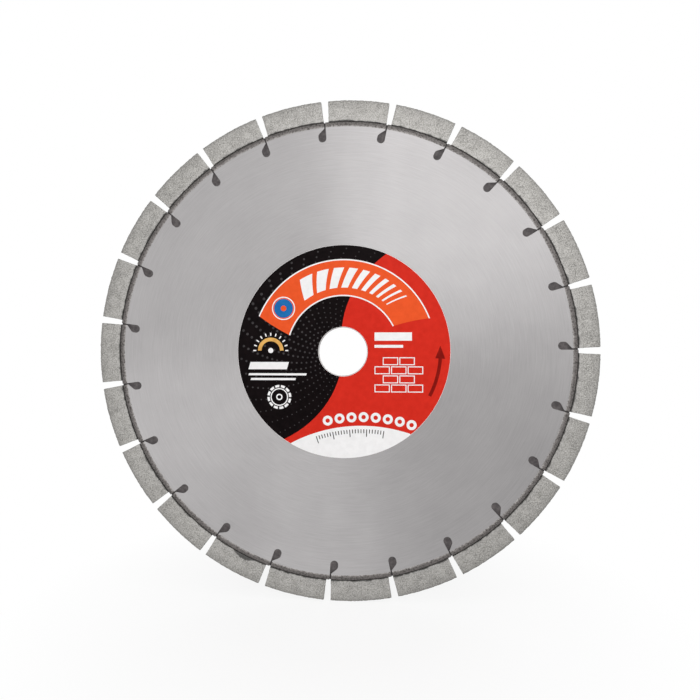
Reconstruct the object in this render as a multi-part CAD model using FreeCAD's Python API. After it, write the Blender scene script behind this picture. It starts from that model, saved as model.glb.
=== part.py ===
import FreeCAD, Part
import math
import os

# Segmented diamond blade for cutting concrete, standing upright.
# It spins about Y. The printed label faces -Y and +Z is up.
# The origin is on the spin axis, halfway through the blade's thickness.
# Lengths are in millimetres and angles in degrees, counted from +X towards +Z.

BLADE_DIAMETER = 230.0
BORE_DIAMETER = 22.23

# The core is a laminated sheet: steel, a thin soft sheet that kills ringing, steel.
STEEL_SHEET_THICKNESS = 0.8
DAMPING_SHEET_THICKNESS = 0.2

# Cutting segments stand on the core's edge, thicker than the core so that it runs free in the cut.
SEGMENT_COUNT = 23
SEGMENT_HEIGHT = 9.5
SEGMENT_THICKNESS = 2.6
SEGMENT_FOOT_HEIGHT = 2.0
SEGMENT_CORNER_RADIUS = 0.35
GAP_WIDTH_AT_FOOT = 2.2
GAP_WIDTH_AT_RIM = 3.05
FIRST_GAP_ANGLE = 0.27

# Each gap runs on into the core as a narrow slit that ends in a one-sided teardrop.
SLIT_WIDTH = 0.65
SLIT_LENGTH = 2.8
SLOT_DEPTH = 9.0
TEARDROP_WIDTH = 3.6
TEARDROP_SHOULDER_RADIUS = 2.0
TEARDROP_SHOULDER_SLOPE = 48.0

# The slots are filled with a damping resin that shrinks a little below the steel.
PLUG_RECESS = 0.15
PLUG_SETBACK_AT_RIM = 0.3

# A laser weld joins each foot to the core. Its bead lies in a shallow step ground round the edge.
WELD_WIDTH = 2.2
WELD_STEP_DEPTH = 0.1
WELD_HEIGHT_AT_FOOT = 0.1
WELD_CROWN_HEIGHT = 0.18

LABEL_DIAMETER = 98.0
LABEL_THICKNESS = 0.12
LABEL_HOLE_CLEARANCE = 0.2

# Cutting shapes run past what they cut by this much.
CUT_OVERSHOOT = 1.0

BLADE_RADIUS = BLADE_DIAMETER / 2
BORE_RADIUS = BORE_DIAMETER / 2
CORE_RADIUS = BLADE_RADIUS - SEGMENT_HEIGHT
CORE_THICKNESS = 2 * STEEL_SHEET_THICKNESS + DAMPING_SHEET_THICKNESS
CORE_FACE = CORE_THICKNESS / 2
DAMPING_FACE = DAMPING_SHEET_THICKNESS / 2
WELD_INNER_RADIUS = CORE_RADIUS - WELD_WIDTH
SEGMENT_PITCH = 360.0 / SEGMENT_COUNT

CENTRE = FreeCAD.Vector(0, 0, 0)
REARWARD = FreeCAD.Vector(0, 1, 0)
SPIN_AXIS = FreeCAD.Vector(0, -1, 0)


def at(along, across, depth=0.0):
    """A point from its distance along +X, its distance across, towards +Z, and its depth along Y."""
    return FreeCAD.Vector(along, depth, across)


def polar(radius, angle):
    """A point in the blade's middle plane, at a radius and an angle from +X."""
    return at(radius * math.cos(math.radians(angle)), radius * math.sin(math.radians(angle)))


def turned(shape, angle):
    """A copy of the shape, turned about the spin axis from +X towards +Z."""
    copy = shape.copy()
    copy.rotate(CENTRE, SPIN_AXIS, angle)
    return copy


def ring(inner_radius, outer_radius, low_y, high_y):
    """A flat ring about the spin axis, between two depths."""
    base = at(0.0, 0.0, low_y)
    outer = Part.makeCylinder(outer_radius, high_y - low_y, base, REARWARD)
    return outer.cut(Part.makeCylinder(inner_radius, high_y - low_y, base, REARWARD))


def slab(edges, thickness):
    """A plate from the closed outline in the middle plane, with half its thickness on each side."""
    face = Part.Face(Part.Wire(edges))
    face.translate(REARWARD * (-thickness / 2))
    return face.extrude(REARWARD * thickness)


def slot_plate(outer_radius, thickness):
    """One slot's shape at angle zero: a slit in from the outer radius, ending in a teardrop.

    The slit opens at one corner of the gap between two segments. One edge runs straight on as
    the teardrop's side, and the teardrop bulges to the other.
    """
    slit_far = GAP_WIDTH_AT_FOOT / 2
    slit_near = slit_far - SLIT_WIDTH
    teardrop_far = slit_near + TEARDROP_WIDTH
    end_radius = TEARDROP_WIDTH / 2
    bottom = CORE_RADIUS - SLOT_DEPTH
    tip = CORE_RADIUS - SLIT_LENGTH
    slope = math.radians(TEARDROP_SHOULDER_SLOPE)
    shoulder = tip - (teardrop_far - slit_far) / math.tan(slope)
    blend = TEARDROP_SHOULDER_RADIUS * math.tan(slope / 2)
    side_top = at(shoulder - blend, teardrop_far)
    slope_end = at(shoulder + blend * math.cos(slope), teardrop_far - blend * math.sin(slope))
    arc_middle = at(
        shoulder - blend + TEARDROP_SHOULDER_RADIUS * math.sin(slope / 2),
        teardrop_far - TEARDROP_SHOULDER_RADIUS * (1 - math.cos(slope / 2)),
    )
    near_side = at(bottom + end_radius, slit_near)
    far_side = at(bottom + end_radius, teardrop_far)
    end_middle = at(bottom, slit_near + end_radius)
    corner_near = at(outer_radius, slit_near)
    corner_far = at(outer_radius, slit_far)
    tip_far = at(tip, slit_far)
    edges = [
        Part.makeLine(corner_near, near_side),
        Part.Arc(near_side, end_middle, far_side).toShape(),
        Part.makeLine(far_side, side_top),
        Part.Arc(side_top, arc_middle, slope_end).toShape(),
        Part.makeLine(slope_end, tip_far),
        Part.makeLine(tip_far, corner_far),
        Part.makeLine(corner_far, corner_near),
    ]
    return slab(edges, thickness)


def all_round(shape):
    """The shape's copies at every gap, in one compound."""
    angles = [FIRST_GAP_ANGLE + number * SEGMENT_PITCH for number in range(SEGMENT_COUNT)]
    return Part.makeCompound([turned(shape, angle) for angle in angles])


def steel_disc(slots):
    """One steel sheet of the core, lying on the damping sheet, on the +Y side.

    The step for the weld bead is ground round its outer face.
    """
    sheet = ring(BORE_RADIUS, CORE_RADIUS, DAMPING_FACE, CORE_FACE)
    step = ring(WELD_INNER_RADIUS, CORE_RADIUS + CUT_OVERSHOOT, CORE_FACE - WELD_STEP_DEPTH, CORE_FACE)
    return sheet.cut(step).cut(slots)


def damping_sheet(slots):
    """The soft middle sheet, cut with the same slots as the steel."""
    return ring(BORE_RADIUS, CORE_RADIUS, -DAMPING_FACE, DAMPING_FACE).cut(slots)


def weld_bead(slots):
    """The low round bead over the joint on the +Y side, broken only by the slits."""
    seat = CORE_FACE - WELD_STEP_DEPTH
    inner_low = at(WELD_INNER_RADIUS, 0.0, seat)
    inner_high = at(WELD_INNER_RADIUS, 0.0, CORE_FACE)
    crown = at(CORE_RADIUS - WELD_WIDTH / 2, 0.0, CORE_FACE + WELD_CROWN_HEIGHT)
    outer_high = at(CORE_RADIUS, 0.0, CORE_FACE + WELD_HEIGHT_AT_FOOT)
    outer_low = at(CORE_RADIUS, 0.0, seat)
    section = Part.Wire([
        Part.makeLine(inner_low, inner_high),
        Part.Arc(inner_high, crown, outer_high).toShape(),
        Part.makeLine(outer_high, outer_low),
        Part.makeLine(outer_low, inner_low),
    ])
    return Part.Face(section).revolve(CENTRE, SPIN_AXIS, 360).cut(slots)


def front_copy(shape):
    """The same piece on the label's side of the blade."""
    return shape.mirror(CENTRE, REARWARD)


def segment_blank():
    """A whole segment with its foot, standing about +X, with its outer corners rounded."""
    foot_angle = SEGMENT_PITCH / 2 - math.degrees(math.asin(GAP_WIDTH_AT_FOOT / 2 / CORE_RADIUS))
    rim_angle = SEGMENT_PITCH / 2 - math.degrees(math.asin(GAP_WIDTH_AT_RIM / 2 / BLADE_RADIUS))
    foot_low = polar(CORE_RADIUS, -foot_angle)
    foot_high = polar(CORE_RADIUS, foot_angle)
    rim_low = polar(BLADE_RADIUS, -rim_angle)
    rim_high = polar(BLADE_RADIUS, rim_angle)
    blank = slab([
        Part.Arc(foot_low, polar(CORE_RADIUS, 0), foot_high).toShape(),
        Part.makeLine(foot_high, rim_high),
        Part.Arc(rim_high, polar(BLADE_RADIUS, 0), rim_low).toShape(),
        Part.makeLine(rim_low, foot_low),
    ], SEGMENT_THICKNESS)
    halfway = CORE_RADIUS + SEGMENT_HEIGHT / 2
    corners = [
        edge for edge in blank.Edges
        if edge.BoundBox.YLength > SEGMENT_THICKNESS / 2 and math.hypot(
            edge.CenterOfMass.x, edge.CenterOfMass.z) > halfway
    ]
    return blank.makeFillet(SEGMENT_CORNER_RADIUS, corners)


def slot_plugs():
    """The resin in every slot, a little thinner than the core and short of its edge."""
    plug = slot_plate(CORE_RADIUS - PLUG_SETBACK_AT_RIM, CORE_THICKNESS - 2 * PLUG_RECESS)
    return all_round(plug)


def label():
    """The round printed label, lying on the front steel sheet."""
    hole_radius = BORE_RADIUS + LABEL_HOLE_CLEARANCE
    return ring(hole_radius, LABEL_DIAMETER / 2, -CORE_FACE - LABEL_THICKNESS, -CORE_FACE)


def write(name, shape):
    """Saves one piece, or one group of like pieces, under its name."""
    shape.exportStep(os.path.join("parts", name + ".step"))


os.makedirs("parts", exist_ok=True)

slots = all_round(slot_plate(CORE_RADIUS + CUT_OVERSHOOT, SEGMENT_THICKNESS))
rear_disc = steel_disc(slots)
rear_bead = weld_bead(slots)

write("core_disc_rear", rear_disc)
write("core_disc_front", front_copy(rear_disc))
write("damping_sheet", damping_sheet(slots))
write("weld_bead_rear", rear_bead)
write("weld_bead_front", front_copy(rear_bead))
write("slot_plugs", slot_plugs())
write("label_front", label())

blank = segment_blank()
foot_zone = ring(
    CORE_RADIUS - CUT_OVERSHOOT, CORE_RADIUS + SEGMENT_FOOT_HEIGHT, -SEGMENT_THICKNESS, SEGMENT_THICKNESS
)
foot = blank.common(foot_zone)
tooth = blank.cut(foot_zone)
for number in range(SEGMENT_COUNT):
    middle = FIRST_GAP_ANGLE + (number + 0.5) * SEGMENT_PITCH
    write("diamond_segment_%02d" % (number + 1), turned(tooth, middle))
    write("segment_foot_%02d" % (number + 1), turned(foot, middle))
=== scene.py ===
import math
import random

import bpy
from mathutils import Matrix, Vector, noise


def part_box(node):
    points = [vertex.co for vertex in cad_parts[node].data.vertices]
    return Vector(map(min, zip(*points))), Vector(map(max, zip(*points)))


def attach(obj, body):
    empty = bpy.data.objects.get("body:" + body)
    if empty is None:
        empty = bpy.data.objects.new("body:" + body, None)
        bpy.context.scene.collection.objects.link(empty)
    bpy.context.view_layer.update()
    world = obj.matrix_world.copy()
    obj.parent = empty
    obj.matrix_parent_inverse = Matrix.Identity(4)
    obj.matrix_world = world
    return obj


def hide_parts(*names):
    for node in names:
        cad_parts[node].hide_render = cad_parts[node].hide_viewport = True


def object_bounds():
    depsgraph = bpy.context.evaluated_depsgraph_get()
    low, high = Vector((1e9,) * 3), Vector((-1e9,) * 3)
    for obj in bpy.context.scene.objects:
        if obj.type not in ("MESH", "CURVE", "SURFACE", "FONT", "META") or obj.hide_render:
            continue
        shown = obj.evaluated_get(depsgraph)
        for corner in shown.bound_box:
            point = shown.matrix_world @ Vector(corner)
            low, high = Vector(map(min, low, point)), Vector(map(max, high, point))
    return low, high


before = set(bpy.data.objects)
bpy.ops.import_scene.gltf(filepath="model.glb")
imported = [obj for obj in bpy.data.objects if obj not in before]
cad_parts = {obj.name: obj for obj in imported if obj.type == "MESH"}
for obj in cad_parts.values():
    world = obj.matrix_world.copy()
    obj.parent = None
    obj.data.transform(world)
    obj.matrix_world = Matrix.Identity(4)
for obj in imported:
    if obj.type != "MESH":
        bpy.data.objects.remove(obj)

cad_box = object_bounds()
mm = 0.001

# Damping sheet. A thin sheet of soft copper lies between the two steel sheets of the core and
# kills the ringing. It is bonded over its whole face and cut together with the steel, so only
# its cut edge shows, in the bore and in the gaps between the segments.


def new_material(name):
    """A material with one plain shader, its node tree and that shader."""
    material = bpy.data.materials.new(name)
    material.use_nodes = True
    tree = material.node_tree
    return material, tree, tree.nodes["Principled BSDF"]


def add(tree, kind, inputs=None, **settings):
    """Adds a shader node. inputs holds a value or a socket to join for each input by name or number."""
    made = tree.nodes.new("ShaderNode" + kind)
    for name, value in settings.items():
        setattr(made, name, value)
    for name, value in (inputs or {}).items():
        if isinstance(value, bpy.types.NodeSocket):
            tree.links.new(value, made.inputs[name])
        else:
            made.inputs[name].default_value = value
    return made


def blend_colours(tree, share, stops):
    """A colour ramp over share, from stops of (place, red-green-blue colour)."""
    ramp = add(tree, "ValToRGB", {"Fac": share})
    ramp.color_ramp.elements[0].position = stops[0][0]
    ramp.color_ramp.elements[1].position = stops[-1][0]
    for place, _ in stops[1:-1]:
        ramp.color_ramp.elements.new(place)
    for element, (_, colour) in zip(ramp.color_ramp.elements, stops):
        element.color = (*colour, 1.0)
    return ramp.outputs["Color"]


def surface_place(tree):
    """Each point's own place on the blade, in metres, the same from every side."""
    return add(tree, "TexCoord").outputs["Object"]


def grain(tree, place, scale, detail=2.0, roughness=0.5):
    """A soft cloudy pattern between 0 and 1."""
    cloud = add(tree, "TexNoise", {
        "Vector": place, "Scale": scale, "Detail": detail, "Roughness": roughness})
    return cloud.outputs["Fac"]


def spread(tree, value, low, high):
    """Carries 0 to 1 over to low to high."""
    return add(tree, "MapRange", {"Value": value, "To Min": low, "To Max": high}).outputs["Result"]


def dent(tree, shader, height, depth):
    """Gives the shader's surface a relief of that depth in metres."""
    bump = add(tree, "Bump", {"Height": height, "Distance": depth, "Strength": 1.0})
    tree.links.new(bump.outputs["Normal"], shader.inputs["Normal"])


def finish_node(name, material):
    """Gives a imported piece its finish."""
    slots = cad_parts[name].material_slots
    for number in range(len(slots)):
        slots[number].material = material


def copper_edge():
    """Dull rolled copper, browned in places."""
    material, tree, shader = new_material("rolled_copper")
    place = surface_place(tree)
    tarnish = grain(tree, place, 900.0, 4.0)
    colour = blend_colours(tree, tarnish, [(0.3, (0.36, 0.17, 0.1)), (0.7, (0.66, 0.36, 0.23))])
    tree.links.new(colour, shader.inputs["Base Color"])
    tree.links.new(spread(tree, tarnish, 0.55, 0.35), shader.inputs["Roughness"])
    shader.inputs["Metallic"].default_value = 1.0
    dent(tree, shader, grain(tree, place, 4000.0), 0.02 * mm)
    return material


finish_node("damping_sheet", copper_edge())

# Core discs. Two sheets of hardened steel, one on each side of the copper, are laser cut to the
# same outline and ground flat on a turning table. The grinding leaves fine rings about the
# centre, so the light runs out over the face in soft spokes.

ring_spacing = 0.42 * mm
mark_turn = 0.12


def reckon(tree, operation, first, second):
    """Two values added, subtracted or multiplied, or the larger of them."""
    return add(tree, "Math", {0: first, 1: second}, operation=operation).outputs["Value"]


def distance_from_axis(tree, place):
    """How far each point is from the blade's axis, and its place with the depth left out."""
    split = add(tree, "SeparateXYZ", {"Vector": place})
    flat = add(tree, "CombineXYZ", {"X": split.outputs["X"], "Y": 0.0, "Z": split.outputs["Z"]})
    radius = add(tree, "VectorMath", {0: flat.outputs["Vector"]}, operation="LENGTH").outputs["Value"]
    return radius, flat.outputs["Vector"]


def round_the_centre(tree, place):
    """Coordinates that change fast with the radius and slowly round the blade, with no seam.

    One step of them is ring_spacing outwards and mark_turn, in radians, round the centre.
    """
    radius, flat = distance_from_axis(tree, place)
    outward = add(tree, "VectorMath", {0: flat}, operation="NORMALIZE").outputs["Vector"]
    slow = add(tree, "VectorMath", {0: outward, "Scale": 1.0 / mark_turn}, operation="SCALE")
    fast = reckon(tree, "MULTIPLY", radius, 1.0 / ring_spacing)
    around = add(tree, "SeparateXYZ", {"Vector": slow.outputs["Vector"]})
    joined = add(tree, "CombineXYZ", {"X": around.outputs["X"], "Y": fast, "Z": around.outputs["Z"]})
    return joined.outputs["Vector"]


def ground_steel():
    """Fine-ground sheet steel with ring marks, a little cloudy and a little warm."""
    material, tree, shader = new_material("ground_steel")
    place = surface_place(tree)
    marks = grain(tree, round_the_centre(tree, place), 1.0, 4.0, 0.65)
    clouds = grain(tree, place, 55.0, 3.0)
    tone = reckon(tree, "ADD", spread(tree, marks, 0.0, 0.65), spread(tree, clouds, 0.0, 0.35))
    colour = blend_colours(tree, tone, [
        (0.3, (0.268, 0.26, 0.261)), (0.5, (0.298, 0.289, 0.29)), (0.7, (0.328, 0.318, 0.319))])
    tree.links.new(colour, shader.inputs["Base Color"])
    tree.links.new(spread(tree, marks, 0.33, 0.47), shader.inputs["Roughness"])
    shader.inputs["Metallic"].default_value = 1.0
    shader.inputs["Anisotropic"].default_value = 0.8
    shader.inputs["Anisotropic Rotation"].default_value = 0.25
    tangent = add(tree, "Tangent", direction_type="RADIAL", axis="Y")
    tree.links.new(tangent.outputs["Tangent"], shader.inputs["Tangent"])
    dent(tree, shader, marks, 0.004 * mm)
    return material


steel = ground_steel()
finish_node("core_disc_front", steel)
finish_node("core_disc_rear", steel)

# Slot plugs. A dark damping resin is cast into the slits and teardrops and cures a little below
# the steel. It keeps the slots from whistling and lets the rim give as it warms up.

core_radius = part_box("damping_sheet")[1][0]
# How far the edge of the painted shade in the resin's slits wanders in and out.
slit_shade_wander = 0.8 * mm


def share_by_radius(tree, place, inner, outer, wander):
    """0 at the inner radius and 1 at the outer one, moved in and out by wander, a length."""
    radius, _ = distance_from_axis(tree, place)
    wandered = reckon(tree, "ADD", radius, wander)
    return add(tree, "MapRange", {
        "Value": wandered, "From Min": inner, "From Max": outer}).outputs["Result"]


def darkened(tree, colour, tone):
    """The colour times the tone. The two colour inputs are numbers 6 and 7, and the output is 2."""
    toned = add(
        tree, "Mix", {"Factor": 1.0, 6: colour, 7: tone}, data_type="RGBA", blend_type="MULTIPLY")
    return toned.outputs[2]


def tone_by_radius(tree, place, colour, tones, wander):
    """The colour, darkened by the distance from the blade's centre.

    tones holds (radius, share of the colour that is left), from the centre outwards.
    """
    first, last = tones[0][0], tones[-1][0]
    tone = blend_colours(tree, share_by_radius(tree, place, first, last, wander), [
        ((radius - first) / (last - first), (left, left, left)) for radius, left in tones])
    return darkened(tree, colour, tone)


def cast_resin():
    """Dull dark grey resin with a slightly uneven skin, darkened towards the weld by painted shade in
    the narrow slits.
    """
    material, tree, shader = new_material("cast_resin")
    place = surface_place(tree)
    skin = grain(tree, place, 700.0, 4.0)
    colour = blend_colours(tree, skin, [(0.34, (0.05, 0.044, 0.045)), (0.66, (0.105, 0.094, 0.094))])
    # Painted shade: the resin darkens towards the outer end of the slits, where they are narrow, to 0.3
    # of its colour at the core's edge.
    painted_slit_shade = tone_by_radius(tree, place, colour, (
        (core_radius - 5.2 * mm, 1.0), (core_radius - 3.4 * mm, 0.55), (core_radius, 0.3)),
        spread(tree, skin, -slit_shade_wander, slit_shade_wander))
    tree.links.new(painted_slit_shade, shader.inputs["Base Color"])
    tree.links.new(spread(tree, skin, 0.5, 0.7), shader.inputs["Roughness"])
    shader.inputs["Specular IOR Level"].default_value = 0.25
    dent(tree, shader, skin, 0.05 * mm)
    return material


finish_node("slot_plugs", cast_resin())

# Segment feet. The lowest layer of each segment is plain sintered metal without diamonds, because
# grit would spoil the weld. It is pressed in one piece with the cutting layer above it. Its base is
# darkened along the weld by soot and by painted shade of the corner beside the bead, and the dark
# climbs higher where the weld ran over one foot at the lower left.

segment_count = sum(name.startswith("diamond_segment_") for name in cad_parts)
foot_height = 2.0 * mm
foot_top_radius = core_radius + foot_height
tone_wander = 1.1 * mm
spill_angle = 244.0
spill_reach = 7.0 * mm
spill_climb = 1.7 * mm
foot_names = ["segment_foot_%02d" % (number + 1) for number in range(segment_count)]


def on_blade(radius, angle, depth):
    """A point from its radius, its angle in degrees from +X towards +Z, and its depth along Y."""
    turn = math.radians(angle)
    return Vector((radius * math.cos(turn), depth, radius * math.sin(turn)))


def weld_spill(tree, place):
    """How far the foot's dark base, weld soot with painted shade, climbs at each point: most where the
    weld ran over, and nothing elsewhere.
    """
    spill_place = on_blade(core_radius, spill_angle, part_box(foot_names[0])[0][1])
    away = add(tree, "VectorMath", {0: place, 1: spill_place}, operation="DISTANCE").outputs["Value"]
    return add(tree, "MapRange", {
        "Value": away, "From Max": spill_reach, "To Min": spill_climb, "To Max": 0.0},
        interpolation_type="SMOOTHSTEP").outputs["Result"]


def sintered_metal(name, dark, middle, light, pit_depth, tones):
    """Pressed and sintered metal powder, mottled from dark to light, with small pits.

    tones holds (radius, share of the colour that is left), from the core outwards.
    """
    material, tree, shader = new_material(name)
    place = surface_place(tree)
    blotches = grain(tree, place, 330.0, 4.0, 0.6)
    powder = grain(tree, place, 1700.0, 4.0, 0.85)
    mixed = reckon(tree, "ADD", spread(tree, blotches, 0.0, 0.2), spread(tree, powder, 0.0, 0.8))
    colour = blend_colours(tree, mixed, [(0.4, dark), (0.5, middle), (0.59, light)])
    wander = reckon(
        tree, "SUBTRACT", spread(tree, blotches, -tone_wander, tone_wander), weld_spill(tree, place))
    toned = tone_by_radius(tree, place, colour, tones, wander)
    tree.links.new(toned, shader.inputs["Base Color"])
    tree.links.new(spread(tree, powder, 0.62, 0.42), shader.inputs["Roughness"])
    shader.inputs["Metallic"].default_value = 0.75
    dent(tree, shader, mixed, pit_depth)
    return material


# Weld soot and painted shade: the foot darkens to a quarter of its colour at its base, in the corner by
# the bead.
foot_metal = sintered_metal(
    "foot_metal", (0.19, 0.184, 0.174), (0.3, 0.291, 0.277), (0.385, 0.375, 0.359), 0.05 * mm,
    ((core_radius, 0.25), (core_radius + 0.15 * mm, 0.45), (core_radius + 0.5 * mm, 1.0),
     (foot_top_radius, 1.0)))
for name in foot_names:
    finish_node(name, foot_metal)

# Cutting segments. Metal powder and diamond grit are pressed and sintered into short curved blocks,
# then dressed on an abrasive wheel so that the first diamonds stand out. The faces stay pitted and
# the edges crumble a little.

segment_names = ["diamond_segment_%02d" % (number + 1) for number in range(segment_count)]
blade_radius = cad_box[1][2]
segment_half_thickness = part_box(segment_names[0])[1][1]
gap_at_foot = 2.2 * mm
gap_at_rim = 3.05 * mm
first_gap_angle = 0.27
segment_pitch = 360.0 / segment_count
face_wear = 0.12 * mm
edge_crumble = 0.16 * mm
least_face_wear = 0.3
face_wear_scale = 1400.0
edge_crumble_scale = 900.0
middle_wear, coarse_wear, fine_wear = (0.45, 0.75, 0.4)
fine_to_coarse = 3.1
on_the_face = 0.999
steps_along, steps_up, steps_through = (74, 20, 7)


def mesh_piece(name, points, faces, material, smooth=False):
    """A new piece from its points and faces, which turns with the blade."""
    mesh = bpy.data.meshes.new(name)
    mesh.from_pydata([tuple(point) for point in points], [], faces)
    mesh.materials.append(material)
    mesh.polygons.foreach_set("use_smooth", [smooth] * len(mesh.polygons))
    mesh.validate()
    mesh.update()
    piece = bpy.data.objects.new(name, mesh)
    bpy.context.collection.objects.link(piece)
    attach(piece, "root")
    return piece


def segment_middle(number):
    """The angle of a segment's middle, in degrees."""
    return first_gap_angle + (number + 0.5) * segment_pitch


def gap_half_width(radius):
    """Half the gap between two segments, which opens a little towards the rim."""
    share = (radius - core_radius) / (blade_radius - core_radius)
    return (gap_at_foot + (gap_at_rim - gap_at_foot) * share) / 2


def crumbling(point, scale):
    """Uneven wear between 0 and 1 at a point."""
    coarse = noise.noise(point * scale)
    fine = noise.noise(point * scale * fine_to_coarse)
    return max(0.0, min(1.0, middle_wear + coarse_wear * coarse + fine_wear * fine))


def segment_place(middle, along, up, through):
    """The point at shares -1 to 1 of a segment's length, height and thickness, worn a little."""
    radius_middle = (blade_radius + foot_top_radius) / 2
    half_height = (blade_radius - foot_top_radius) / 2
    at_end = abs(along) > on_the_face
    at_rim = up > on_the_face
    at_side = abs(through) > on_the_face
    radius = radius_middle + half_height * up
    reach = segment_pitch / 2 - math.degrees(math.asin(gap_half_width(radius) / radius))
    fresh = on_blade(radius, middle + reach * along, segment_half_thickness * through)
    wear = face_wear * (least_face_wear + (1 - least_face_wear) * crumbling(fresh, face_wear_scale))
    if at_end + at_rim + at_side > 1:
        wear += edge_crumble * crumbling(fresh, edge_crumble_scale)
    if at_side:
        through *= 1 - wear / segment_half_thickness
    if at_rim:
        radius -= wear
    if at_end:
        reach -= math.degrees(wear / radius)
    return on_blade(radius, middle + reach * along, segment_half_thickness * through)


def segment_mesh(middle):
    """Points and faces of one segment, as a box of small squares bent round the blade."""
    points, faces, numbers = [], [], {}

    def corner(i, j, k):
        if (i, j, k) not in numbers:
            numbers[i, j, k] = len(points)
            points.append(segment_place(
                middle, 2 * i / steps_along - 1, 2 * j / steps_up - 1, 2 * k / steps_through - 1))
        return numbers[i, j, k]

    def square(corners, way):
        faces.append([corner(*place) for place in corners][::way])

    for i in range(steps_along):
        for j in range(steps_up):
            for k, way in ((0, 1), (steps_through, -1)):
                square(((i, j, k), (i, j + 1, k), (i + 1, j + 1, k), (i + 1, j, k)), way)
        for k in range(steps_through):
            for j, way in ((0, 1), (steps_up, -1)):
                square(((i, j, k), (i + 1, j, k), (i + 1, j, k + 1), (i, j, k + 1)), way)
    for j in range(steps_up):
        for k in range(steps_through):
            for i, way in ((0, 1), (steps_along, -1)):
                square(((i, j, k), (i, j, k + 1), (i, j + 1, k + 1), (i, j + 1, k)), way)
    return points, faces


cutting_metal = sintered_metal(
    "cutting_metal", (0.15, 0.146, 0.137), (0.295, 0.286, 0.271), (0.4, 0.39, 0.372), 0.09 * mm,
    ((foot_top_radius, 1.0), (blade_radius - 4.0 * mm, 0.97), (blade_radius - 1.2 * mm, 0.86),
     (blade_radius - 0.3 * mm, 0.66), (blade_radius, 0.5)))
for number, name in enumerate(segment_names):
    points, faces = segment_mesh(segment_middle(number))
    worn = mesh_piece("worn_segment_%02d" % (number + 1), points, faces, cutting_metal)
    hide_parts(name)

# Diamond grit. Small yellow-green synthetic diamonds sit in the metal of every segment. The
# dressed faces and the rim show the ones that lie at the surface, more than half sunk.

grit_seed = 7
grit_on_each_face = 75
grit_on_each_rim = 34
grit_radius = 0.19 * mm
grit_sunk = 0.14 * mm
smallest_share = 0.55
shortest_corner = 0.75
grit_rim_width = 0.85
grit_end_margin = 0.95
crystal_corners = [
    Vector(corner) for corner in ((1, 0, 0), (-1, 0, 0), (0, 1, 0), (0, -1, 0), (0, 0, 1), (0, 0, -1))]
crystal_faces = [(0, 2, 4), (2, 1, 4), (1, 3, 4), (3, 0, 4), (2, 0, 5), (1, 2, 5), (3, 1, 5), (0, 3, 5)]


def crystal(points, faces, centre, size, chance):
    """Adds one octahedral crystal, turned at random and a little uneven."""
    start = len(points)
    turn = Matrix.Rotation(chance.uniform(0, math.tau), 3, "X") @ Matrix.Rotation(
        chance.uniform(0, math.tau), 3, "Z")
    for corner in crystal_corners:
        points.append(centre + turn @ corner * size * chance.uniform(shortest_corner, 1.0))
    faces.extend([tuple(start + number for number in face) for face in crystal_faces])


def inside_limit(centre, size):
    """Moves a crystal inwards where it would stand out past the segment's outside."""
    limit = segment_half_thickness - size
    centre.y = max(-limit, min(limit, centre.y))
    radius = math.hypot(centre.x, centre.z)
    most = blade_radius - size
    if radius > most:
        centre.x *= most / radius
        centre.z *= most / radius
    return centre


def diamond_grit():
    """Pale yellow-green diamond, hard and shiny."""
    material, tree, shader = new_material("diamond_grit")
    tint = grain(tree, surface_place(tree), 1300.0, 1.0)
    colour = blend_colours(tree, tint, [(0.3, (0.3, 0.31, 0.13)), (0.7, (0.6, 0.6, 0.36))])
    tree.links.new(colour, shader.inputs["Base Color"])
    tree.links.new(spread(tree, tint, 0.12, 0.28), shader.inputs["Roughness"])
    shader.inputs["IOR"].default_value = 2.4
    return material


chance = random.Random(grit_seed)
points, faces = [], []
half_turn = segment_pitch / 2 - grit_end_margin
for number in range(segment_count):
    for side in (-1, 1):
        for _ in range(grit_on_each_face):
            size = grit_radius * chance.uniform(smallest_share, 1.0)
            centre = on_blade(
                chance.uniform(foot_top_radius + size, blade_radius - size),
                segment_middle(number) + half_turn * chance.uniform(-1, 1),
                side * (segment_half_thickness - grit_sunk))
            crystal(points, faces, inside_limit(centre, size), size, chance)
    for _ in range(grit_on_each_rim):
        size = grit_radius * chance.uniform(smallest_share, 1.0)
        centre = on_blade(
            blade_radius - grit_sunk,
            segment_middle(number) + half_turn * chance.uniform(-1, 1),
            segment_half_thickness * chance.uniform(-grit_rim_width, grit_rim_width))
        crystal(points, faces, inside_limit(centre, size), size, chance)
grit = mesh_piece("diamond_grit", points, faces, diamond_grit())

# Weld beads. A laser melts the foot into the core's edge from each side and leaves a low rippled
# bead, dark with oxide. It lies in a shallow step and dips just before the thicker segment.

weld_width = 2.2 * mm
weld_step_depth = 0.1 * mm
core_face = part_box("core_disc_rear")[1][1]
weld_seat = core_face - weld_step_depth
slit_far = gap_at_foot / 2
slit_width = 0.65 * mm
ripple_pitch = 0.52 * mm
edge_wander = 0.12 * mm
edge_inset = 0.1 * mm
edge_wander_scale = 1100.0
ripple_bow = 0.7
ripple_rise = 0.25
lump_rise = 0.35
lump_scale = 1700.0
weld_wander = 1.0 * mm
steps_per_ripple = 4
weld_profile = (
    (0.0, 0.0), (0.06, 0.02), (0.25, 0.1), (0.5, 0.14), (0.72, 0.1), (0.88, 0.0), (1.0, -0.06))


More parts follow.
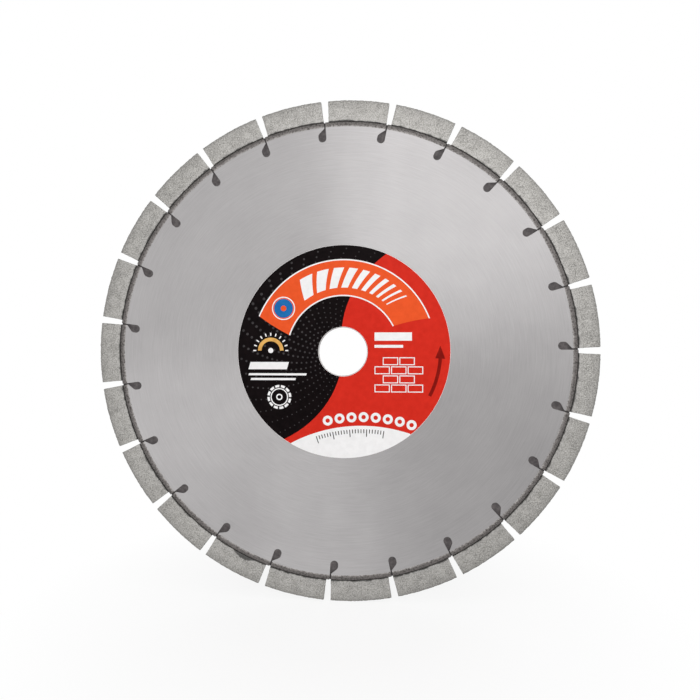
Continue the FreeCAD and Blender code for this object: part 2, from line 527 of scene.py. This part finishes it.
def weld_strip(points, faces, start_angle, end_angle, side):
    """Adds one bead between two slits on one side of the blade."""
    length = math.radians(end_angle - start_angle) * core_radius
    steps = int(length / ripple_pitch) * steps_per_ripple
    first = len(points)
    across = len(weld_profile) + 2
    for step in range(steps + 1):
        angle = start_angle + (end_angle - start_angle) * step / steps
        spine = on_blade(core_radius, angle, 0.0)
        ragged = edge_wander * noise.noise(spine * edge_wander_scale) - edge_inset
        inner = core_radius - weld_width + ragged
        ring = [(inner, weld_seat)]
        for share, height in weld_profile:
            wave = math.cos(math.tau * (step / steps_per_ripple - ripple_bow * (0.5 - share) ** 2))
            lump = noise.noise(on_blade(core_radius, angle, share * mm) * lump_scale)
            swell = 1 + ripple_rise * wave + lump_rise * lump if height > 0 else 1.0
            rise = height * mm * swell
            ring.append((inner + (core_radius - inner) * share, core_face + rise))
        ring.append((core_radius, weld_seat))
        for radius, height in ring:
            points.append(on_blade(radius, angle, side * height))
    for step in range(steps):
        for place in range(across):
            near = first + step * across + place
            far = first + step * across + (place + 1) % across
            square = (near, far, far + across, near + across)
            faces.append(square if side < 0 else square[::-1])
    for ring_start, way in ((first, side), (first + steps * across, -side)):
        faces.append(tuple(range(ring_start, ring_start + across))[::way])


def weld_metal():
    """Dark oxide on the bead, browner and paler where it thins out over the steel. Towards the foot it
    is darkened also by painted shade of the step there.
    """
    material, tree, shader = new_material("weld_metal")
    place = surface_place(tree)
    lumps = grain(tree, place, 620.0, 4.0, 0.7)
    wander = spread(tree, lumps, -weld_wander, weld_wander)
    across = share_by_radius(tree, place, core_radius - weld_width, core_radius, wander)
    # The ramp runs across the bead. Its outer part, towards the foot, is dark from oxide and from
    # painted shade of the step, and it is darkest at the very edge.
    colour = blend_colours(tree, across, [
        (0.0, (0.34, 0.325, 0.314)), (0.14, (0.21, 0.194, 0.186)), (0.4, (0.126, 0.115, 0.11)),
        (0.75, (0.138, 0.126, 0.121)), (0.92, (0.15, 0.139, 0.133)), (1.0, (0.12, 0.11, 0.106))])
    soot = blend_colours(tree, grain(tree, place, 1100.0, 3.0, 0.8), [
        (0.39, (0.28, 0.265, 0.257)), (0.5, (0.87, 0.87, 0.87)), (0.61, (1.0, 1.0, 1.0))])
    tree.links.new(darkened(tree, colour, soot), shader.inputs["Base Color"])
    tree.links.new(spread(tree, lumps, 0.6, 0.4), shader.inputs["Roughness"])
    shader.inputs["Metallic"].default_value = 0.5
    dent(tree, shader, lumps, 0.05 * mm)
    return material


oxide = weld_metal()
for side, node_name in ((-1, "weld_bead_front"), (1, "weld_bead_rear")):
    points, faces = [], []
    for number in range(segment_count):
        gap_angle = first_gap_angle + number * segment_pitch
        start = gap_angle + math.degrees(slit_far / core_radius)
        end = gap_angle + segment_pitch + math.degrees((slit_far - slit_width) / core_radius)
        weld_strip(points, faces, start, end, side)
    bead = mesh_piece(node_name.replace("weld_bead", "rippled_bead"), points, faces, oxide, smooth=True)
    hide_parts(node_name)

# Label. A round of white film, printed in red, black, orange and white under a clear gloss coat,
# is stuck to the front. Its pattern is plain shapes: fields, an arch, stripes, dots and a turning
# arrow that shows which way the blade runs.

label_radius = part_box("label_front")[1][0]
label_hole_radius = 11.315 * mm
label_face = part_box("label_front")[0][1]
ink_thickness = 0.012 * mm
print_margin = 0.12 * mm
join_digits = 7
print_outer = label_radius - print_margin
print_inner = label_hole_radius + print_margin


def gloss_print(name, dark, light):
    """Printed ink under a clear coat, with the faint unevenness of a printed solid."""
    material, tree, shader = new_material(name)
    place = surface_place(tree)
    screen = grain(tree, place, 420.0, 3.0)
    tree.links.new(blend_colours(tree, screen, [(0.3, dark), (0.7, light)]), shader.inputs["Base Color"])
    tree.links.new(spread(tree, grain(tree, place, 160.0), 0.26, 0.38), shader.inputs["Roughness"])
    shader.inputs["Specular IOR Level"].default_value = 0.03
    dent(tree, shader, screen, 0.004 * mm)
    return material


def printed(name, layer, shapes, material):
    """One ink of the print, on its own layer. shapes holds lists of (x, z) corners.

    Corners that meet, to join_digits of a metre, are one point, so that a field is one sheet.
    """
    depth = label_face - ink_thickness * layer
    corners, faces = {}, []
    for shape in shapes:
        places = [(round(x, join_digits), round(z, join_digits)) for x, z in shape]
        faces.append([corners.setdefault(place, len(corners)) for place in places])
    piece = mesh_piece(name, [(x, depth, z) for x, z in corners], faces, material)


def polar(radius, angle):
    """A point of the print from its radius and its angle in degrees."""
    turn = math.radians(angle)
    return (radius * math.cos(turn), radius * math.sin(turn))


def field(inner, outer, start, end, lean_start=0.0, lean_end=0.0, steps=60, rows=12):
    """Squares that fill part of a ring, whose two ends lean by that many degrees towards the edge."""
    squares = []

    def place(row, step):
        share = row / rows
        low = start + lean_start * share
        high = end + lean_end * share
        return polar(inner + (outer - inner) * share, low + (high - low) * step / steps)

    for row in range(rows):
        for step in range(steps):
            squares.append([
                place(row, step), place(row + 1, step), place(row + 1, step + 1), place(row, step + 1)])
    return squares


def moved(shapes, x, z):
    """The shapes, shifted over the label by that many millimetres."""
    return [[(px + x * mm, pz + z * mm) for px, pz in shape] for shape in shapes]


def dot(x, z, radius, corners=28):
    """A round dot, in millimetres."""
    return moved([[polar(radius * mm, 360.0 * n / corners) for n in range(corners)]], x, z)


def bar(x, z, width, height, lean=0.0):
    """A level bar with slanted ends, from its lower left corner, in millimetres."""
    corners = ((0.0, 0.0), (width, 0.0), (width + lean, height), (lean, height))
    return moved([[(px * mm, pz * mm) for px, pz in corners]], x, z)


def hoop(x, z, inner, outer, start=0.0, end=360.0, steps=36):
    """A ring or part of one about a point, in millimetres."""
    return moved(field(inner * mm, outer * mm, start, end, steps=steps, rows=1), x, z)


red_print = gloss_print("red_print", (0.62, 0.024, 0.013), (0.68, 0.029, 0.016))
black_print = gloss_print("black_print", (0.0025, 0.0012, 0.0014), (0.0055, 0.003, 0.0034))
grey_print = gloss_print("grey_print", (0.035, 0.032, 0.033), (0.06, 0.055, 0.056))
orange_print = gloss_print("orange_print", (0.8, 0.092, 0.021), (0.86, 0.104, 0.025))
white_print = gloss_print("white_print", (0.86, 0.85, 0.85), (0.92, 0.91, 0.91))
blue_print = gloss_print("blue_print", (0.012, 0.13, 0.38), (0.018, 0.17, 0.46))
amber_print = gloss_print("amber_print", (0.68, 0.36, 0.09), (0.8, 0.46, 0.13))
maroon_print = gloss_print("maroon_print", (0.2, 0.006, 0.004), (0.26, 0.01, 0.006))
film = gloss_print("white_film", (0.84, 0.82, 0.81), (0.9, 0.88, 0.87))
finish_node("label_front", film)

# The red field covers the whole print. The black one lies over its left part, with swept ends.
sweep = -26
black_start, black_end = (92, 262)
printed("print_red_field", 1, field(print_inner, print_outer, 0, 360, steps=180, rows=2), red_print)
printed("print_black_field", 2, field(
    print_inner, print_outer, black_start, black_end, sweep, sweep, steps=90), black_print)

# Fine grey dots fade across the black field in swept rows.
dot_rows = 21
dots_in_row = 17
dots_margin = 5
smallest_dot, dot_growth = (0.28, 0.42)
grey_dots = []
for row in range(dot_rows):
    for place in range(dots_in_row):
        share = (place + 0.5 * (row % 2) + 0.3) / dots_in_row
        row_angle = (black_end - black_start - 2 * dots_margin) * row / (dot_rows - 1)
        angle = black_start + dots_margin + row_angle + sweep * share
        fade = math.sin(math.pi * row / (dot_rows - 1)) ** 2 * (0.35 + 0.65 * share)
        size = smallest_dot + dot_growth * fade
        distance = (print_inner + (print_outer - print_inner) * share) / mm
        x, z = polar(distance, angle)
        if distance + size < print_outer / mm:
            grey_dots += dot(x, z, size, corners=10)
printed("print_grey_dots", 3, grey_dots, grey_print)

# The orange arch has thin white edges, fading white stripes and a small blue disc.
arch_inner, arch_outer = (25.5 * mm, 42.5 * mm)
arch_start, arch_end = (27, 163)
arch_sweep = -6
arch_line = 0.6 * mm
line_sweep = arch_sweep * arch_line / (arch_outer - arch_inner)
printed("print_orange_arch", 4, field(
    arch_inner, arch_outer, arch_start, arch_end, arch_sweep, arch_sweep, steps=90), orange_print)
white_marks = field(
    arch_inner, arch_inner + arch_line, arch_start, arch_end, line_sweep, line_sweep, rows=1, steps=90)
white_marks += field(
    arch_outer - arch_line, arch_outer, arch_start + arch_sweep - line_sweep,
    arch_end + arch_sweep - line_sweep, line_sweep, line_sweep, rows=1, steps=90)
stripe_inner, stripe_outer = (29.4 * mm, 38.6 * mm)
stripe_gap = 3.6
stripe_angle = 127.0
for stripe_width in (9.5, 8.2, 7.0, 5.9, 4.9, 4.0, 3.2, 2.4, 1.7, 1.1):
    white_marks += field(
        stripe_inner, stripe_outer, stripe_angle - stripe_width, stripe_angle, arch_sweep, arch_sweep,
        steps=6, rows=4)
    stripe_angle -= stripe_width + stripe_gap
disc_x, disc_z = polar(34.0, 144)
white_marks += hoop(disc_x, disc_z, 4.9, 5.4)
blue_marks = hoop(disc_x, disc_z, 1.3, 4.4)

# The white foot bulges up from the print's lower edge and carries plain graduations.
foot_curve = 70.0
foot_x, foot_z = (9.0, -104.0)
foot_steps = 360
foot_edge = []
for step in range(foot_steps + 1):
    px, pz = polar(foot_curve * mm, 180.0 * step / foot_steps)
    if math.hypot(foot_x * mm + px, foot_z * mm + pz) < print_outer:
        foot_edge.append((foot_x * mm + px, foot_z * mm + pz))
foot_right = math.degrees(math.atan2(foot_edge[0][1], foot_edge[0][0]))
foot_left = math.degrees(math.atan2(foot_edge[-1][1], foot_edge[-1][0]))
lower_edge = [
    polar(print_outer, foot_left + (foot_right - foot_left) * step / (len(foot_edge) - 1))
    for step in range(len(foot_edge))]
for step in range(len(foot_edge) - 1):
    upper, lower = foot_edge[::-1][step:step + 2], lower_edge[step:step + 2]
    white_marks.append([upper[0], lower[0], lower[1], upper[1]])
ticks = 25
first_tick, tick_pitch, tick_width = (108.0, 1.1, 0.34)
long_tick, short_tick = (3.4, 1.8)
tick_top = foot_curve - 1.6
black_marks = []
for tick in range(ticks):
    length = long_tick if tick % 6 == 0 else short_tick
    tick_angle = first_tick - tick * tick_pitch
    black_marks += moved(field(
        (tick_top - length) * mm, tick_top * mm, tick_angle, tick_angle + tick_width,
        steps=1, rows=1), foot_x, foot_z)

# A row of white rings follows the foot's upper edge.
rings = 8
ring_row = foot_curve + 4.0
first_ring, ring_pitch = (102.5, 4.3)
for ring in range(rings):
    x, z = polar(ring_row, first_ring - ring * ring_pitch)
    white_marks += hoop(foot_x + x, foot_z + z, 1.0, 2.3)

# A dial, three bars and a plain segmented disc stand on the black field.
dial_x, dial_z = (-33.5, 0.5)
dial_steps = 10
dial_tick_half = 2.2
amber_marks = hoop(dial_x, dial_z, 4.3, 6.0, 0, 180)
for tick in range(dial_steps + 1):
    tick_angle = 180 * tick / dial_steps
    white_marks += hoop(
        dial_x, dial_z, 6.8, 8.2, tick_angle - dial_tick_half, tick_angle + dial_tick_half, steps=1)
white_marks += dot(dial_x, dial_z, 1.2)
white_marks += bar(-44.0, -8.2, 18.0, 3.4, 1.0)
white_marks += bar(-44.0, -11.0, 27.0, 1.0, 0.3)
white_marks += bar(-43.0, -13.2, 21.0, 1.0, 0.3)
wheel_x, wheel_z = (-29.5, -21.0)
wheel_teeth = 12
tooth_width = 22
white_marks += hoop(wheel_x, wheel_z, 3.6, 4.1)
white_marks += hoop(wheel_x, wheel_z, 0.9, 1.5)
for tooth in range(wheel_teeth):
    tooth_angle = 360 * tooth / wheel_teeth
    white_marks += hoop(wheel_x, wheel_z, 4.5, 5.6, tooth_angle, tooth_angle + tooth_width, steps=3)

# Bars and laid bricks stand on the red field, and the turning arrow follows its edge.
white_marks += bar(14.5, 5.0, 17.0, 3.8)
white_marks += bar(14.5, 1.8, 13.0, 1.3)
brick_wide, brick_high, joint, line = (7.0, 3.6, 0.55, 0.42)
wall_left, wall_low = (14.5, -18.6)
courses = 4
for course in range(courses):
    low = wall_low + course * (brick_high + joint)
    shift = (brick_wide + joint) / 2 if course % 2 else 0.0
    for brick in range(2 if course % 2 else 3):
        left = wall_left + shift + brick * (brick_wide + joint)
        for edge in (low, low + brick_high - line):
            white_marks += bar(left, edge, brick_wide, line)
        for edge in (left, left + brick_wide - line):
            white_marks += bar(edge, low + line, line, brick_high - 2 * line)
arrow_radius, arrow_half = (44.4 * mm, 0.75 * mm)
arrow_tail, arrow_neck, arrow_tip = (-27.0, -4.0, 3.5)
maroon_marks = field(
    arrow_radius - arrow_half, arrow_radius + arrow_half, arrow_tail, arrow_neck, rows=1)
maroon_marks.append([
    polar(arrow_radius - 3 * arrow_half, arrow_neck), polar(arrow_radius + 3 * arrow_half, arrow_neck),
    polar(arrow_radius, arrow_tip)])

printed("print_white_marks", 5, white_marks, white_print)
printed("print_black_marks", 6, black_marks, black_print)
printed("print_blue_disc", 5, blue_marks, blue_print)
printed("print_amber_dial", 5, amber_marks, amber_print)
printed("print_turning_arrow", 5, maroon_marks, maroon_print)

# Floor. The blade stands on its rim on the thin white sheet of a light table. The sheet catches
# the blade's shadow and lets the lamps below it through.

shadow_reach = 0.05
floor_glow = 0.84
floor_size = 8.0
floor_height = cad_box[0][2]


def seen_as_background(tree):
    """1 where the camera, a gloss or a clear material looks, and 0 for light that falls on things."""
    path = add(tree, "LightPath")
    seen = reckon(tree, "MAXIMUM", path.outputs["Is Camera Ray"], path.outputs["Is Glossy Ray"])
    return reckon(tree, "MAXIMUM", seen, path.outputs["Is Transmission Ray"])


def white_floor():
    """A pale floor that runs into the white background but keeps the blade's soft shadow."""
    material, tree, shader = new_material("white_floor")
    tint = grain(tree, surface_place(tree), 3.0)
    colour = blend_colours(tree, tint, [(0.2, (0.88, 0.88, 0.88)), (0.8, (0.9, 0.9, 0.9))])
    tree.links.new(colour, shader.inputs["Base Color"])
    shader.inputs["Roughness"].default_value = 0.9
    glow = add(tree, "Emission", {"Color": (1.0, 1.0, 1.0, 1.0), "Strength": 1.0})
    away = add(tree, "VectorMath", {0: surface_place(tree), 1: (0.0, 0.0, floor_height)},
               operation="DISTANCE").outputs["Value"]
    fade = add(tree, "MapRange", {
        "Value": away, "From Min": shadow_reach, "From Max": 3 * shadow_reach,
        "To Min": floor_glow, "To Max": 1.0}).outputs["Result"]
    share = reckon(tree, "MULTIPLY", seen_as_background(tree), fade)
    mixed = add(tree, "MixShader", {0: share, 1: shader.outputs[0], 2: glow.outputs[0]})
    tree.links.new(mixed.outputs[0], tree.nodes["Material Output"].inputs["Surface"])
    return material


floor_mesh = bpy.data.meshes.new("floor")
floor_mesh.from_pydata([
    (-floor_size, -floor_size, floor_height), (floor_size, -floor_size, floor_height),
    (floor_size, floor_size, floor_height), (-floor_size, floor_size, floor_height)], [], [(0, 1, 2, 3)])
floor_mesh.materials.append(white_floor())
floor = bpy.data.objects.new("floor", floor_mesh)
bpy.context.collection.objects.link(floor)
floor.visible_shadow = False
floor.visible_glossy = False

# Room light. A white room lights the blade evenly, and the camera and the metal see it plain
# white. Eight soft square lamps in front of the blade and two behind it draw the spokes of light.

even_light = 0.37

world = bpy.data.worlds.new("white_room")
bpy.context.scene.world = world
world.use_nodes = True
room = world.node_tree
room.nodes.clear()
even = add(room, "Background", {"Color": (1.0, 1.0, 1.0, 1.0), "Strength": even_light})
white = add(room, "Background", {"Color": (1.0, 1.0, 1.0, 1.0), "Strength": 1.0})
mixed = add(room, "MixShader", {0: seen_as_background(room), 1: even.outputs[0], 2: white.outputs[0]})
add(room, "OutputWorld", {"Surface": mixed.outputs[0]})

blade_centre = Vector((0.0, 0.0, 0.0))
lamp_distance = 0.9
lamp_size = 0.5


def soft_light(name, angle, tilt, power):
    """A square soft light that faces the blade, in watts.

    angle is measured round the blade from +X towards +Z, and tilt from straight in front.
    """
    light = bpy.data.lights.new(name, "AREA")
    light.shape = "SQUARE"
    light.size = lamp_size
    light.energy = power
    lamp = bpy.data.objects.new(name, light)
    bpy.context.collection.objects.link(lamp)
    sideways = math.sin(math.radians(tilt)) * lamp_distance
    lamp.location = (
        sideways * math.cos(math.radians(angle)),
        -math.cos(math.radians(tilt)) * lamp_distance,
        sideways * math.sin(math.radians(angle)))
    lamp.rotation_euler = (blade_centre - lamp.location).to_track_quat("-Z", "Y").to_euler()


soft_light("key_light", angle=60, tilt=25, power=1.8)
soft_light("upper_left_light", angle=120, tilt=25, power=0.65)
soft_light("left_light", angle=180, tilt=25, power=0.6)
soft_light("right_light", angle=25, tilt=50, power=0.75)
soft_light("low_left_light", angle=205, tilt=50, power=0.55)
soft_light("low_light", angle=258, tilt=50, power=0.75)
soft_light("side_light", angle=0, tilt=68, power=0.85)
soft_light("high_light", angle=82, tilt=68, power=1.35)
soft_light("rear_key_light", angle=60, tilt=155, power=1.8)
soft_light("rear_fill_light", angle=200, tilt=150, power=0.7)

# Camera. It stands close in front of the blade, a little to its right, so that the right half of
# the rim looks slightly larger and the bore lies left of the rim's centre.

sensor_width = 36.0
photo_width = 700
bore_in_photo = (342.85, 351.65)
photo_blade_radius = 250.678
camera_turn = 4.0
camera_rise = 0.48
nearness = 0.03121  # how much nearer the right edge is than the bore, as a share of the distance
camera_distance = blade_radius * math.sin(math.radians(camera_turn)) / nearness

camera_data = bpy.data.cameras.new("camera")
camera_data.sensor_width = sensor_width
camera_data.lens = sensor_width * photo_blade_radius / photo_width * camera_distance / blade_radius
camera_data.shift_x = (photo_width / 2 - bore_in_photo[0]) / photo_width
camera_data.shift_y = (bore_in_photo[1] - photo_width / 2) / photo_width
camera_data.clip_start = 0.01
camera = bpy.data.objects.new("camera", camera_data)
bpy.context.collection.objects.link(camera)
turn, rise = math.radians(camera_turn), math.radians(camera_rise)
front_centre = Vector((0.0, -segment_half_thickness, 0.0))
camera.location = front_centre + camera_distance * Vector((
    math.sin(turn) * math.cos(rise), -math.cos(turn) * math.cos(rise), math.sin(rise)))
camera.rotation_euler = (front_centre - camera.location).to_track_quat("-Z", "Y").to_euler()
bpy.context.scene.camera = camera
bpy.context.scene.view_settings.view_transform = "Standard"
